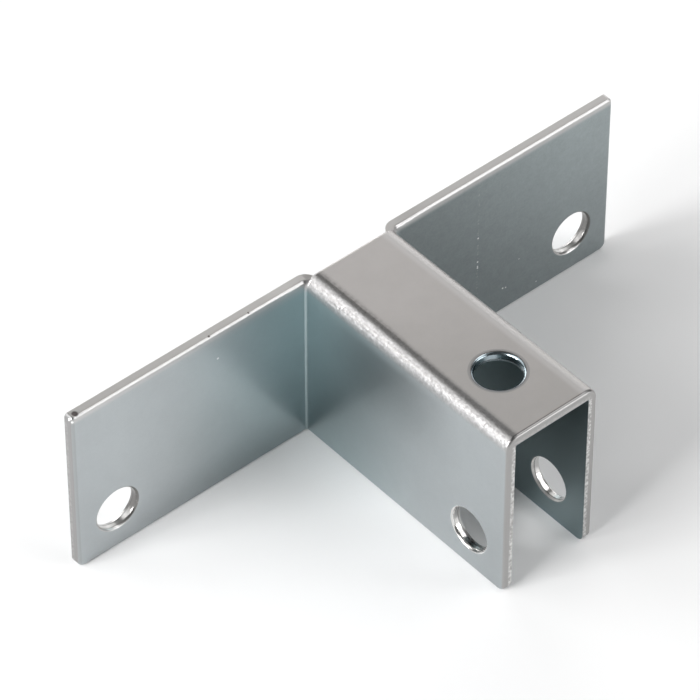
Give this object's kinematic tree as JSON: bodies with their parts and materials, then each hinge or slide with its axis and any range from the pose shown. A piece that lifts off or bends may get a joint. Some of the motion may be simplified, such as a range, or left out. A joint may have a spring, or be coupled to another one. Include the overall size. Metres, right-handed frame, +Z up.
{
  "type": "tee bracket",
  "caption": "Tee bracket folded from sheet metal: a short channel, open underneath, whose walls turn outwards at the rear into flat ears, with round bolt holes.",
  "frame": {"origin": "in the rear plane of the ears, midway between the two ear holes", "axes": "+X across the ears, to the right when the channel points at the viewer; +Y backwards, out of the ears' rear faces; +Z up, from the lower edges to the web"},
  "size_m": [0.1, 0.0436, 0.03],
  "materials": {
    "zinc_plated_steel": "bright zinc plating over cold-rolled sheet, satin, with fine blemishes"
  },
  "bodies": {
    "root": {"bracket": "zinc_plated_steel"}
  },
  "joints": []
}
